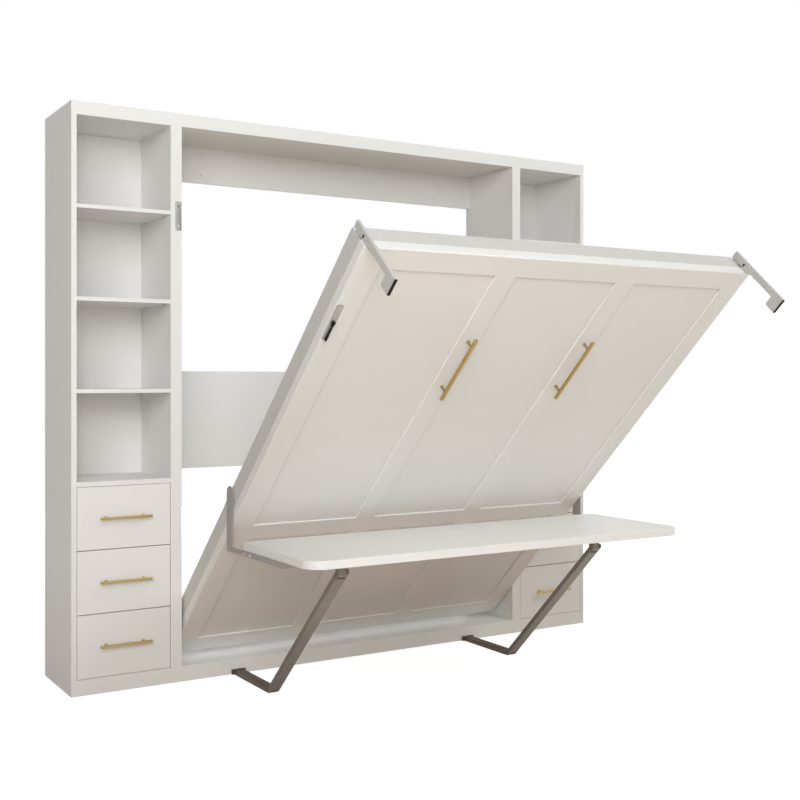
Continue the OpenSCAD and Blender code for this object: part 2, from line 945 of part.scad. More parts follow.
drawer_box(-1, 0);  // left_low_drawer_box
drawer_handle(-1, 0);  // left_low_drawer_handle
drawer_front(1, 2);  // right_top_drawer_front
drawer_box(1, 2);  // right_top_drawer_box
drawer_handle(1, 2);  // right_top_drawer_handle
drawer_front(1, 1);  // right_mid_drawer_front
drawer_box(1, 1);  // right_mid_drawer_box
drawer_handle(1, 1);  // right_mid_drawer_handle
drawer_front(1, 0);  // right_low_drawer_front
drawer_box(1, 0);  // right_low_drawer_box
drawer_handle(1, 0);  // right_low_drawer_handle
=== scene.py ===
import json
import math

import bmesh
import bpy
from mathutils import Matrix, Vector


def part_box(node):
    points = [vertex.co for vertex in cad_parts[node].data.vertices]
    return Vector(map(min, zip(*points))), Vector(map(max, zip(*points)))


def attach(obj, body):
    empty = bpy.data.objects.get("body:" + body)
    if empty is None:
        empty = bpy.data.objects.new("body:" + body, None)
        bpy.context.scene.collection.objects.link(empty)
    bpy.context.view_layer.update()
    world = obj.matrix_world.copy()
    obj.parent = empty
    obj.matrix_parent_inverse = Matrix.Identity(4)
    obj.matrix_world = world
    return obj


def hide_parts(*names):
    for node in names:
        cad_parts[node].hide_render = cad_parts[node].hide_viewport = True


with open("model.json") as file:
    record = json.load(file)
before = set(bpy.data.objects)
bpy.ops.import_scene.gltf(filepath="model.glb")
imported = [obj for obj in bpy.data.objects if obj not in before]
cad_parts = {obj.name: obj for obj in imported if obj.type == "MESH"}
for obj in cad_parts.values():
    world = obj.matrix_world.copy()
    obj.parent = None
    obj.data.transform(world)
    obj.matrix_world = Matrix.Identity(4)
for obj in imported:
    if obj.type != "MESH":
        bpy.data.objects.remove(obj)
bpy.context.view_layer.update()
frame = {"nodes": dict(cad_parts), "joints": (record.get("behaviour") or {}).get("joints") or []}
mm = 0.001
creaseAngle = 32
fullTurn = 2 * math.pi

# the photograph's own camera, fitted to the cabinet's edges
cameraView = dict(place=(-2.4655, -4.0817, 1.1745), level=90, turn=-29.216, lens=48.94, film=36,
                  shift=(0.12, -0.02685))

cameraData = bpy.data.cameras.new("photoCamera")
camera = bpy.data.objects.new("photoCamera", cameraData)
bpy.context.scene.collection.objects.link(camera)
camera.location = cameraView["place"]
camera.rotation_euler = (math.radians(cameraView["level"]), 0, math.radians(cameraView["turn"]))
cameraData.sensor_width = cameraView["film"]
cameraData.lens = cameraView["lens"]
cameraData.shift_x, cameraData.shift_y = cameraView["shift"]
bpy.context.scene.camera = camera
bpy.context.scene.view_settings.view_transform = "Standard"
print("camera set")


# an output socket that takes part in sums
class Value:
    def __init__(self, tree, socket):
        self.tree = tree
        self.socket = socket

    def combine(self, operation, other, swapped=False):
        node = self.tree.nodes.new("ShaderNodeMath")
        node.operation = operation
        order = (other, self) if swapped else (self, other)
        for slot, item in zip(node.inputs, order):
            if isinstance(item, Value):
                self.tree.links.new(item.socket, slot)
            else:
                slot.default_value = item
        return Value(self.tree, node.outputs[0])

    def __add__(self, other):
        return self.combine("ADD", other)

    def __radd__(self, other):
        return self.combine("ADD", other, True)

    def __sub__(self, other):
        return self.combine("SUBTRACT", other)

    def __rsub__(self, other):
        return self.combine("SUBTRACT", other, True)

    def __mul__(self, other):
        return self.combine("MULTIPLY", other)

    def __rmul__(self, other):
        return self.combine("MULTIPLY", other, True)

    def __truediv__(self, other):
        return self.combine("DIVIDE", other)

    def __rtruediv__(self, other):
        return self.combine("DIVIDE", other, True)

    def __pow__(self, other):
        return self.combine("POWER", other)


# a tree of nodes, for materials and for geometry
class Network:
    def __init__(self, tree):
        self.tree = tree

    def node(self, kind, settings=None, out=0, **inputs):
        made = self.tree.nodes.new(kind)
        for key, value in (settings or {}).items():
            setattr(made, key, value)
        for key, value in inputs.items():
            slot = made.inputs[int(key[1:]) if key[1:].isdigit() else key.replace("_", " ")]
            if isinstance(value, Value):
                self.tree.links.new(value.socket, slot)
            else:
                slot.default_value = value
        return Value(self.tree, made.outputs[out])


class Finish(Network):
    def __init__(self, name, **constants):
        self.material = bpy.data.materials.new(name)
        self.material.use_nodes = True
        super().__init__(self.material.node_tree)
        self.shader = self.tree.nodes["Principled BSDF"]
        for key, value in constants.items():
            self.shader.inputs[key.replace("_", " ")].default_value = value
        self.place = self.node("ShaderNodeTexCoord", out="Object")

    def feed(self, name, value):
        self.tree.links.new(value.socket, self.shader.inputs[name])

    def noise(self, scale, detail=2.0, stretch=(1, 1, 1)):
        where = self.node("ShaderNodeMapping", Vector=self.place, Scale=stretch)
        return self.node("ShaderNodeTexNoise", Vector=where, Scale=scale, Detail=detail)

    # a mix of two colours, each a plain triple or a socket
    def tint(self, factor, first, second):
        first, second = (c if isinstance(c, Value) else (*c, 1) for c in (first, second))
        return self.node("ShaderNodeMix", {"data_type": "RGBA"}, out=2, i0=factor, i6=first, i7=second)

    def bump(self, height, depth, strength=1.0):
        self.feed("Normal", self.node("ShaderNodeBump", Height=height, Distance=depth, Strength=strength))


# a colour a little darker and a little lighter
def shades(colour, spread):
    return [tuple(min(1, c * f) for c in colour) for f in (1 - spread, 1 + spread)]


# sprayed satin lacquer on board
def lacquer(name, colour, rough=0.42):
    finish = Finish(name, Coat_Weight=0.12, Coat_Roughness=0.35)
    cloud = finish.noise(2.3, 3)
    finish.feed("Base Color", finish.tint(cloud, *shades(colour, 0.012)))
    finish.feed("Roughness", rough + 0.05 * finish.noise(9, 2) - 0.02)
    finish.bump(finish.noise(420, 2) + 0.6 * finish.noise(90, 1), 0.00004)
    return finish.material


# powder coat: a fine even grain over steel, with painted shade darkening it towards the floor when a
# floor tone is given
def powderCoat(name, colour, rough=0.45, metal=0.0, floorShadeTone=None, floorShadeHeight=0.4):
    finish = Finish(name, Metallic=metal)
    coat = finish.tint(finish.noise(14, 3), *shades(colour, 0.04))
    # painted shade: below the given height the coat fades to the dark floor tone, standing in for the
    # shadow at the feet
    if floorShadeTone:
        height = finish.node("ShaderNodeSeparateXYZ", out="Z", Vector=finish.place)
        shadeFade = finish.node("ShaderNodeMapRange", Value=height, From_Min=0.0, From_Max=floorShadeHeight)
        coat = finish.tint(shadeFade, floorShadeTone, coat)
    finish.feed("Base Color", coat)
    grain = finish.noise(900, 3)
    finish.feed("Roughness", rough + 0.12 * grain)
    finish.bump(grain, 0.00006)
    return finish.material


# satin metal with fine lines along one axis
def satinMetal(name, colour, rough, stretch):
    finish = Finish(name, Metallic=1.0)
    lines = finish.noise(260, 3, stretch)
    finish.feed("Base Color", finish.tint(finish.noise(30, 2), *shades(colour, 0.05)))
    finish.feed("Roughness", rough + 0.14 * lines)
    finish.bump(lines, 0.00003)
    return finish.material


def slatWood(name, light, dark):
    finish = Finish(name)
    grain = finish.noise(60, 5, (0.04, 1, 1))
    ring = finish.noise(9, 2, (0.15, 1, 1))
    finish.feed("Base Color", finish.tint(0.65 * grain + 0.35 * ring, dark, light))
    finish.feed("Roughness", 0.5 + 0.15 * grain)
    finish.bump(grain, 0.0002)
    return finish.material


def mouldedBlack(name, rough, dark, light):
    finish = Finish(name, Specular_IOR_Level=0.1)
    grain = finish.noise(500, 2)
    finish.feed("Base Color", finish.tint(grain, dark, light))
    finish.feed("Roughness", rough + 0.15 * grain)
    finish.bump(grain, 0.00012)
    return finish.material


white = lacquer("whiteLacquer", (0.80, 0.79, 0.775))
boxWhite = lacquer("drawerWhite", (0.80, 0.79, 0.77), 0.55)
blueGrey = lacquer("blueGreyBoard", (0.815, 0.82, 0.825), 0.5)
paleSteel = powderCoat("paleFrameCoat", (0.60, 0.585, 0.565))
legSteel = powderCoat("greyLegCoat", (0.53, 0.52, 0.505))
midSteel = powderCoat("greyArmCoat", (0.33, 0.31, 0.29), 0.4, 0.3)
# the last colour is painted shade: the struts and foot bars darken towards the floor as if shadowed
strutSteel = powderCoat("greyStrutCoat", (0.25, 0.222, 0.188), 0.4, 0.3, (0.095, 0.066, 0.045))
brass = satinMetal("satinBrass", (0.42, 0.29, 0.105), 0.28, (0.05, 1, 1))
nickel = satinMetal("satinNickel", (0.62, 0.60, 0.57), 0.3, (1, 1, 0.05))
pewter = satinMetal("pewterPlate", (0.27, 0.26, 0.25), 0.42, (1, 1, 0.05))
lockNickel = satinMetal("lockNickel", (0.42, 0.39, 0.345), 0.4, (1, 1, 0.05))
slatFinish = slatWood("birchSlat", (0.78, 0.65, 0.47), (0.60, 0.46, 0.30))
black = mouldedBlack("blackPlastic", 0.45, (0.008, 0.008, 0.008), (0.016, 0.016, 0.016))
rubber = mouldedBlack("blackRubber", 0.75, (0.022, 0.017, 0.013), (0.042, 0.034, 0.026))
print("finishes made")


def newObject(name, mesh):
    made = bpy.data.objects.new(name, mesh)
    bpy.context.scene.collection.objects.link(made)
    return made


def smoothMesh(mesh):
    mesh.shade_smooth()
    mesh.set_sharp_from_angle(angle=math.radians(creaseAngle))


# leaves a plain mesh with what the object's modifiers made
def applied(made):
    depsgraph = bpy.context.evaluated_depsgraph_get()
    mesh = bpy.data.meshes.new_from_object(made.evaluated_get(depsgraph), depsgraph=depsgraph)
    made.modifiers.clear()
    made.data = mesh
    mesh.name = made.name
    return made


# gives a piece its material and body, and hides the CAD nodes it stands for
def setOut(made, body, slotName, material, *nodes):
    made.data.materials.clear()
    made.data.materials.append(material)
    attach(made, body)
    if nodes:
        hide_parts(*nodes)
    return made


def bevelled(made, width, segments=2):
    smoothMesh(made.data)
    edge = made.modifiers.new("edge", "BEVEL")
    edge.width = width
    edge.segments = segments
    edge.limit_method = "ANGLE"
    edge.angle_limit = math.radians(creaseAngle)
    edge.harden_normals = True
    return applied(made)


joined = dict(gap=0.002 * mm, flat=1)


# a copy of a CAD node with its doubled points joined, its flat faces whole and its edges rounded over
def rounded(node, width, segments=2):
    shape = bmesh.new()
    shape.from_mesh(frame["nodes"][node].data)
    bmesh.ops.remove_doubles(shape, verts=shape.verts, dist=joined["gap"])
    flat = math.radians(joined["flat"])
    bmesh.ops.dissolve_limit(shape, angle_limit=flat, verts=shape.verts, edges=shape.edges)
    mesh = bpy.data.meshes.new(node + "Finished")
    shape.to_mesh(mesh)
    shape.free()
    return bevelled(newObject(mesh.name, mesh), width, segments)


# a turned shape: rings of (radius, distance) from start along a direction
def turned(shape, start, along, profile, steps=32):
    along = Vector(along).normalized()
    side = along.orthogonal().normalized()
    other = along.cross(side)
    start = Vector(start)
    rings = []
    for radius, distance in profile:
        centre = start + along * distance
        if radius <= 0:
            rings.append([shape.verts.new(centre)])
            continue
        angles = [2 * math.pi * k / steps for k in range(steps)]
        outwards = [math.cos(a) * side + math.sin(a) * other for a in angles]
        rings.append([shape.verts.new(centre + radius * way) for way in outwards])
    for first, second in zip(rings, rings[1:]):
        for k in range(steps):
            corners = [first[k % len(first)], first[(k + 1) % len(first)],
                       second[(k + 1) % len(second)], second[k % len(second)]]
            face = list(dict.fromkeys(corners))
            if len(face) > 2:
                shape.faces.new(face)


# profiles for turned: a rod with both ends eased, and a peg with its far end eased
def rodProfile(radius, start, end, ease):
    return [(0, start), (radius - ease, start), (radius, start + ease), (radius, end - ease),
            (radius - ease, end), (0, end)]


def pegProfile(radius, length, ease):
    return [(0, 0), (radius, 0), (radius, length - ease), (radius - ease, length), (0, length)]


# an object from a finished bmesh
def fromShape(name, shape):
    bmesh.ops.recalc_face_normals(shape, faces=shape.faces)
    mesh = bpy.data.meshes.new(name)
    shape.to_mesh(mesh)
    shape.free()
    smoothMesh(mesh)
    return newObject(name, mesh)


# a geometry tree with named inputs, each (name, socket type)
class Recipe(Network):
    def __init__(self, name, inputs):
        super().__init__(bpy.data.node_groups.new(name, "GeometryNodeTree"))
        face = self.tree.interface
        face.new_socket("Geometry", in_out="OUTPUT", socket_type="NodeSocketGeometry")
        self.sockets = {key: face.new_socket(key, in_out="INPUT", socket_type="NodeSocket" + kind)
                        for key, kind in inputs}
        self.entry = self.tree.nodes.new("NodeGroupInput")

    def given(self, name):
        return Value(self.tree, self.entry.outputs[name])

    def close(self, geometry, finish):
        real = self.node("GeometryNodeRealizeInstances", Geometry=geometry)
        dressed = self.node("GeometryNodeSetMaterial", Geometry=real, Material=finish)
        self.tree.links.new(dressed.socket, self.tree.nodes.new("NodeGroupOutput").inputs[0])

    # runs the tree on an object and leaves a plain mesh
    def run(self, made, **values):
        modifier = made.modifiers.new("recipe", "NODES")
        modifier.node_group = self.tree
        for key, value in values.items():
            modifier[self.sockets[key.replace("_", " ")].identifier] = value
        return applied(made)


# copies of a piece along a line
rowInputs = [("Piece", "Geometry"), ("Count", "Int"), ("Step", "Vector"), ("Finish", "Material")]
rowRecipe = Recipe("rowOfCopies", rowInputs)
row = rowRecipe.node("GeometryNodeMeshLine", Count=rowRecipe.given("Count"),
                     Offset=rowRecipe.given("Step"))
rowCopies = rowRecipe.node("GeometryNodeInstanceOnPoints", Points=row, Instance=rowRecipe.given("Piece"))
rowRecipe.close(rowCopies, rowRecipe.given("Finish"))

# copies of a piece on points, each turned to face outwards and twisted by chance
pointInputs = [("Points", "Geometry"), ("Piece", "Object"), ("Twist", "Float"), ("Seed", "Int"),
               ("Finish", "Material")]
pointRecipe = Recipe("copiesOnPoints", pointInputs)
facing = pointRecipe.node("GeometryNodeInputNamedAttribute", {"data_type": "FLOAT_VECTOR"}, Name="facing")
upright = pointRecipe.node("FunctionNodeAlignRotationToVector", {"axis": "Z"}, Vector=facing)
chance = pointRecipe.node("FunctionNodeRandomValue", {"data_type": "FLOAT"}, out=1, i2=0.0, i3=1.0,
                          Seed=pointRecipe.given("Seed"))
spin = pointRecipe.node("FunctionNodeAxisAngleToRotation", Axis=(0, 0, 1),
                        Angle=chance * pointRecipe.given("Twist"))
turnedSpin = pointRecipe.node("FunctionNodeRotateRotation", {"rotation_space": "LOCAL"},
                              Rotation=upright, Rotate_By=spin)
source = pointRecipe.node("GeometryNodeObjectInfo", out="Geometry", Object=pointRecipe.given("Piece"))
pointCopies = pointRecipe.node("GeometryNodeInstanceOnPoints", Points=pointRecipe.given("Points"),
                               Instance=source, Rotation=turnedSpin)
pointRecipe.close(pointCopies, pointRecipe.given("Finish"))
print("geometry recipes made")


# a block between two corners
def block(shape, low, high):
    middle = (Vector(low) + Vector(high)) / 2
    size = Vector(high) - Vector(low)
    bmesh.ops.create_cube(shape, size=1, matrix=Matrix.Translation(middle) @ Matrix.Diagonal((*size, 1)))


# a solid between two matching rings of places
def between(shape, firstRing, secondRing):
    low = [shape.verts.new(place) for place in firstRing]
    high = [shape.verts.new(place) for place in secondRing]
    shape.faces.new(low)
    shape.faces.new(high)
    for k in range(len(low)):
        follow = (k + 1) % len(low)
        shape.faces.new((low[k], low[follow], high[follow], high[k]))


# a flat outline in (x, z) given a thickness along y
def plate(shape, outline, y0, y1):
    between(shape, [(x, y0, z) for x, z in outline], [(x, y1, z) for x, z in outline])


# the second shape is cut out of the piece, and is gone afterwards
def cutOut(piece, cutter):
    hollow = piece.modifiers.new("cut", "BOOLEAN")
    hollow.object = cutter
    hollow.solver = "EXACT"
    applied(piece)
    bpy.data.objects.remove(cutter)
    smoothMesh(piece.data)


def arc(centre, radius, first, last, steps):
    angles = [math.radians(first + (last - first) * k / steps) for k in range(steps + 1)]
    return [(centre[0] + radius * math.cos(a), centre[1] + radius * math.sin(a)) for a in angles]


def roundedOutline(low, high, radius, steps=6):
    corners = [(high[0] - radius, high[1] - radius), (low[0] + radius, high[1] - radius),
               (low[0] + radius, low[1] + radius), (high[0] - radius, low[1] + radius)]
    quarters = [arc(corner, radius, 90 * k, 90 * k + 90, steps) for k, corner in enumerate(corners)]
    return [point for quarter in quarters for point in quarter]


recessShare = dict(long=0.62, wide=0.15)


# a fastener's head at the origin, facing +Z, with a crossed recess cut into it
def screwHead(name, radius, height, recess):
    shape = bmesh.new()
    dome = [(1, 0), (1, 0.35), (0.85, 0.75), (0.5, 0.97), (0, 1)]
    rise = [(0, 0)] + [(radius * out, height * up) for out, up in dome]
    turned(shape, (0, 0, 0), (0, 0, 1), rise, 20)
    head = fromShape(name, shape)
    shape = bmesh.new()
    long, wide = radius * recessShare["long"], radius * recessShare["wide"]
    arms = [(wide, long), (wide, wide), (long, wide), (long, -wide), (wide, -wide), (wide, -long),
            (-wide, -long), (-wide, -wide), (-long, -wide), (-long, wide), (-wide, wide), (-wide, long)]
    plate(shape, arms, -height * 2, -height + recess)
    bmesh.ops.rotate(shape, verts=shape.verts, matrix=Matrix.Rotation(math.radians(-90), 3, "X"))
    cutOut(head, fromShape(name + "Cutter", shape))
    return head


# fasteners on points [(place, facing)], in the closed bed's place when move is given
def fasteners(name, points, piece, finish, body, slotName, seed, move=None):
    mesh = bpy.data.meshes.new(name)
    spots = [(Vector(place), Vector(way)) for place, way in points]
    if move:
        spots = [(move @ place, move.to_3x3() @ way) for place, way in spots]
    mesh.from_pydata([place for place, way in spots], [], [])
    attribute = mesh.attributes.new("facing", "FLOAT_VECTOR", "POINT")
    attribute.data.foreach_set("vector", [c for place, way in spots for c in way])
    made = pointRecipe.run(newObject(name, mesh), Piece=piece, Twist=fullTurn, Seed=seed, Finish=finish)
    smoothMesh(made.data)
    return setOut(made, body, slotName, finish)


# where the bed stands: its pivot, and the turn from the closed place to the rest pose
bedJoint = next(j for j in frame["joints"] if j["name"] == "bed_hinge")
bedPivot = Vector(bedJoint["pos_m"])
closedTurn = math.radians(-bedJoint["range_deg"][0])
onBed = Matrix.Translation(bedPivot) @ Matrix.Rotation(closedTurn, 4, "X") @ Matrix.Translation(-bedPivot)
offBed = onBed.inverted()


# the box of a bed node in the closed bed's place
def closedBox(node):
    corners = [offBed @ vert.co for vert in frame["nodes"][node].data.vertices]
    return Vector(map(min, zip(*corners))), Vector(map(max, zip(*corners)))


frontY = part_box("top_fascia")[0].y
screwSizes = dict(body=dict(radius=3.6 * mm, height=1.5 * mm, recess=1.0 * mm),
                  small=dict(radius=2.6 * mm, height=0.9 * mm, recess=0.7 * mm))
bodyScrew = screwHead("bodyScrew", **screwSizes["body"])
smallScrew = screwHead("smallScrew", **screwSizes["small"])
print("frame read")


# the cabinet's boards: flush joints keep fine edges, loose boards are eased more
boards = dict(fine=0.35 * mm, eased=1.0 * mm)
flushBoards = [
    "left_outer_side", "right_outer_side", "left_inner_side", "right_inner_side", "left_bed_upright",
    "right_bed_upright", "top_panel", "top_fascia", "plinth", "base_boards", "drawer_decks",
]
for node in flushBoards:
    setOut(rounded(node, boards["fine"]), "cabinet", "white_paint", white, node)
for node in ("shelves", "floor_bearers", "column_backs", "top_back_rail"):
    setOut(rounded(node, boards["eased"], 3), "cabinet", "white_paint", white, node)
middleBoard = rounded("mid_back_board", boards["eased"])
setOut(middleBoard, "cabinet", "blue_grey_board", blueGrey, "mid_back_board")
print("cabinet boards done")

# caps over the four wall fixings
caps = dict(radius=5.5 * mm, high=0.15 * mm, rim=0.09 * mm, flat=3.85 * mm, sunk=1 * mm, across=600 * mm,
            drop=40 * mm)
railLow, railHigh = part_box("top_back_rail")
capRise = [(0, -caps["sunk"]), (caps["radius"], -caps["sunk"]), (caps["radius"], caps["rim"]),
           (caps["flat"], caps["high"]), (0, caps["high"])]
shape = bmesh.new()
for x in (-caps["across"], caps["across"]):
    for z in (railHigh.z - caps["drop"], railLow.z + caps["drop"]):
        turned(shape, (x, railLow.y, z), (0, -1, 0), capRise, 24)
setOut(fromShape("fixingCaps", shape), "cabinet", "white_paint", white)

# shelf pins: a plug in the side and a peg under each shelf end
pins = dict(radius=2.5 * mm, plug=8 * mm, peg=8 * mm, ease=0.5 * mm)
pinLow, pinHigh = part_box("shelf_pins")
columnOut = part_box("right_outer_side")[0].x
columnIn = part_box("right_inner_side")[1].x
shelfBottoms = sorted({round(vert.co.z, 5) for vert in frame["nodes"]["shelves"].data.vertices})[::2]
core = pins["radius"]
pinRise = rodProfile(core, -pins["plug"], pins["peg"], pins["ease"])
shape = bmesh.new()
for z in shelfBottoms:
    for y in (pinLow.y + core, pinHigh.y - core):
        for side in (-1, 1):
            for x, way in ((columnOut, -side), (columnIn, side)):
                turned(shape, (side * x, y, z - core), (way, 0, 0), pinRise, 20)
setOut(fromShape("shelfPins", shape), "cabinet", "nickel_steel", nickel, "shelf_pins")

# drawer runners: a channel screwed to the side with a slimmer rail riding in it
runners = dict(wall=1.3 * mm, deep=12.2 * mm, lip=6.5 * mm, core=20 * mm, coreDeep=8.5 * mm,
               screwIn=40 * mm, edge=0.3 * mm)
runnerLow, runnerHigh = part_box("drawer_runners")
runnerLevels = sorted({round(vert.co.z, 5) for vert in frame["nodes"]["drawer_runners"].data.vertices})
wall, deep, lip = runners["wall"], runners["deep"], runners["lip"]
shape = bmesh.new()
screws = []
for low, high in zip(runnerLevels[::2], runnerLevels[1::2]):
    middle = (low + high) / 2
    slim = runners["core"] / 2
    parts = [(0, wall, low, high), (0, deep, low, low + wall), (0, deep, high - wall, high),
             (deep - wall, deep, low, low + lip), (deep - wall, deep, high - lip, high),
             (wall / 2, runners["coreDeep"], middle - slim, middle + slim)]
    for side in (-1, 1):
        for wallX, way in ((columnOut, -1), (columnIn, 1)):
            for near, far, z0, z1 in parts:
                ends = sorted((side * (wallX + way * near), side * (wallX + way * far)))
                block(shape, (ends[0], runnerLow.y, z0), (ends[1], runnerHigh.y, z1))
            screwX = side * (wallX + way * runners["coreDeep"])
            for y in (runnerLow.y + runners["screwIn"], runnerHigh.y - runners["screwIn"]):
                screws.append(((screwX, y, middle), (side * way, 0, 0)))
fixedRunners = bevelled(fromShape("drawerRunners", shape), runners["edge"], 1)
setOut(fixedRunners, "cabinet", "nickel_steel", nickel, "drawer_runners")
fasteners("runnerScrews", screws, smallScrew, nickel, "cabinet", "nickel_steel", seed=5)
print("column fittings done")

# the bed's front: a shaker frame with eased inner edges on a flat panel
bedFront = dict(frameEdge=4.2 * mm, panelEdge=1.2 * mm)
setOut(rounded("bed_face_frame", bedFront["frameEdge"], 4), "bed", "white_paint", white, "bed_face_frame")
setOut(rounded("bed_face_panel", bedFront["panelEdge"], 2), "bed", "white_paint", white, "bed_face_panel")

# the steel frame behind it
steelFrame = dict(edge=0.9 * mm, pivotEdge=0.4 * mm)
for node in ("left_side_rail", "right_side_rail", "head_rail", "foot_rail"):
    setOut(rounded(node, steelFrame["edge"]), "bed", "pale_frame_steel", paleSteel, node)
setOut(rounded("arm_pivots", steelFrame["pivotEdge"]), "bed", "grey_steel", midSteel, "arm_pivots")

# slats: one eased board repeated up the bed
slats = dict(count=13, wide=70 * mm, ease=3.5 * mm)
low, high = closedBox("bed_slats")
shape = bmesh.new()
block(shape, low, (high.x, high.y, low.z + slats["wide"]))
slat = bevelled(fromShape("bedSlats", shape), slats["ease"], 3)
pace = (high.z - low.z - slats["wide"]) / (slats["count"] - 1)
rowRecipe.run(slat, Count=slats["count"], Step=(0, 0, pace), Finish=slatFinish)
slat.data.transform(onBed)
smoothMesh(slat.data)
setOut(slat, "bed", "slat_wood", slatFinish, "bed_slats")
print("bed done")

# folding legs with their rubber pads
legs = dict(edge=1.2 * mm, padEdge=1.0 * mm)
for side in ("left", "right"):
    leg, pad = side + "_bed_leg", side + "_leg_pad"
    setOut(rounded(leg, legs["edge"]), side + "_leg", "pale_frame_steel", legSteel, leg)
    setOut(rounded(pad, legs["padEdge"]), side + "_leg", "black_rubber", rubber, pad)

# a black rubber lining in the slot of each leg, with a lip on both faces; it is painted shade, a dark
# piece standing in for the shade inside the slot
slotShade = dict(radius=3.6 * mm, rise=6 * mm, back=33 * mm, lift=9 * mm, proud=0.7 * mm, edge=0.4 * mm)
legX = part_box("right_bed_leg")
y = frontY + slotShade["back"]
z = closedBox("bed_face_panel")[1].z + slotShade["lift"]
ring = arc((y, z + slotShade["rise"]), slotShade["radius"], 0, 180, 12)
ring += arc((y, z), slotShade["radius"], 180, 360, 12)
for side, sign in (("left", -1), ("right", 1)):
    nearX, farX = legX[0].x - slotShade["proud"], legX[1].x + slotShade["proud"]
    shape = bmesh.new()
    between(shape, [(sign * nearX, a, b) for a, b in ring], [(sign * farX, a, b) for a, b in ring])
    shape.transform(onBed)
    shadeLining = bevelled(fromShape(side + "Grommet", shape), slotShade["edge"])
    setOut(shadeLining, side + "_leg", "black_rubber", rubber)

# the desk and its steelwork
deskEdges = dict(top=1.4 * mm, arm=0.8 * mm, hinge=0.6 * mm, bolt=0.5 * mm, strut=1.2 * mm)
setOut(rounded("desk_top", deskEdges["top"], 3), "desk", "white_paint", white, "desk_top")
setOut(rounded("desk_arms", deskEdges["arm"]), "desk", "grey_steel", midSteel, "desk_arms")
setOut(rounded("desk_hinges", deskEdges["hinge"]), "desk", "grey_steel", strutSteel, "desk_hinges")
setOut(rounded("desk_bolts", deskEdges["bolt"]), "desk", "nickel_steel", nickel, "desk_bolts")
for node, body in (("left_strut", "struts"), ("right_strut", "struts"), ("foot_bars", "cabinet")):
    setOut(rounded(node, deskEdges["strut"], 3), body, "grey_steel", strutSteel, node)

# screws through the hinge plates, under the desk
plates = dict(inset=9 * mm, wide=60 * mm, thick=4 * mm)
hingeLow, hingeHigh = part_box("desk_hinges")
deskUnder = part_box("desk_top")[0].z
screws = []
for edgeX, way in ((hingeLow.x, 1), (hingeHigh.x, -1)):
    for x in (plates["inset"], plates["wide"] - plates["inset"]):
        for y in (hingeLow.y + plates["inset"], hingeLow.y + plates["wide"] - plates["inset"]):
            screws.append(((edgeX + way * x, y, deskUnder - plates["thick"]), (0, 0, -1)))
fasteners("hingeScrews", screws, bodyScrew, nickel, "desk", "nickel_steel", seed=11)
print("desk and struts done")

# pivot plates on the uprights with their pins, and four screws in each
pivotPlate = dict(thick=3 * mm, across=21 * mm, up=36 * mm, edge=0.5 * mm)
setOut(rounded("bed_pivot_pins", pivotPlate["edge"]), "cabinet", "nickel_steel", nickel, "bed_pivot_pins")
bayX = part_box("right_bed_upright")[0].x
plateX = bayX - pivotPlate["thick"]
screws = []
for side in (-1, 1):
    for y in (-pivotPlate["across"], pivotPlate["across"]):
        for z in (-pivotPlate["up"], pivotPlate["up"]):
            screws.append(((side * plateX, bedPivot.y + y, bedPivot.z + z), (-side, 0, 0)))
fasteners("pivotScrews", screws, bodyScrew, nickel, "cabinet", "nickel_steel", seed=7)

# strike plate: rounded, with a long slot and a screw near each end
strike = dict(edge=0.6 * mm, corner=5 * mm, slot=2.6 * mm, slotTop=24 * mm, slotBottom=38 * mm,
              slotRound=0.99, over=2 * mm, screwUp=16 * mm, screwDown=12 * mm)
low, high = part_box("strike_plate")
shape = bmesh.new()
plate(shape, roundedOutline((low.x, low.z), (high.x, high.z), strike["corner"]), low.y, high.y)
strikePlate = bevelled(fromShape("strikePlate", shape), strike["edge"], 2)
middleX = (low.x + high.x) / 2
shape = bmesh.new()
slotLow = (middleX - strike["slot"], low.z + strike["slotBottom"])
slotHigh = (middleX + strike["slot"], high.z - strike["slotTop"])
slotOutline = roundedOutline(slotLow, slotHigh, strike["slot"] * strike["slotRound"])
plate(shape, slotOutline, low.y - strike["over"], (2 * low.y + high.y) / 3)
cutOut(strikePlate, fromShape("slotCutter", shape))
setOut(strikePlate, "cabinet", "nickel_steel", pewter, "strike_plate")
screwLevels = (low.z + strike["screwUp"], high.z - strike["screwDown"])
screws = [((middleX, low.y, z), (0, -1, 0)) for z in screwLevels]
fasteners("strikeScrews", screws, bodyScrew, nickel, "cabinet", "nickel_steel", seed=4)

# lock plate at the edge of the bed's front, with the blackened stud the lever turns on
lock = dict(thick=2.5 * mm, edge=0.6 * mm, corner=6 * mm, screw=12 * mm, stud=3.5 * mm, studEase=0.5 * mm,
            screwIn=14 * mm)
low, high = closedBox("lock_plate")
leverLow, leverHigh = closedBox("latch_lever")
hubX = (leverLow.x + leverHigh.x) / 2
hubZ = leverHigh.z - (leverHigh.x - leverLow.x) / 2
plateFront = frontY - lock["thick"]
shape = bmesh.new()
plate(shape, roundedOutline((low.x, low.z), (high.x, high.z), lock["corner"]), plateFront, frontY)
lockPlate = bevelled(fromShape("lockPlate", shape), lock["edge"], 3)
lockPlate.data.transform(onBed)
setOut(lockPlate, "bed", "nickel_steel", lockNickel, "lock_plate")
stud = pegProfile(lock["stud"], frontY - low.y, lock["studEase"])
shape = bmesh.new()
turned(shape, (hubX, frontY, hubZ), (0, -1, 0), stud, 24)
shape.transform(onBed)
setOut(fromShape("latchStud", shape), "bed", "black_lever", black)
screwLevels = (low.z + lock["screw"], high.z - lock["screw"])
screws = [((low.x + lock["screwIn"], plateFront, z), (0, -1, 0)) for z in screwLevels]
fasteners("lockScrews", screws, smallScrew, nickel, "bed", "nickel_steel", seed=6, move=onBed)

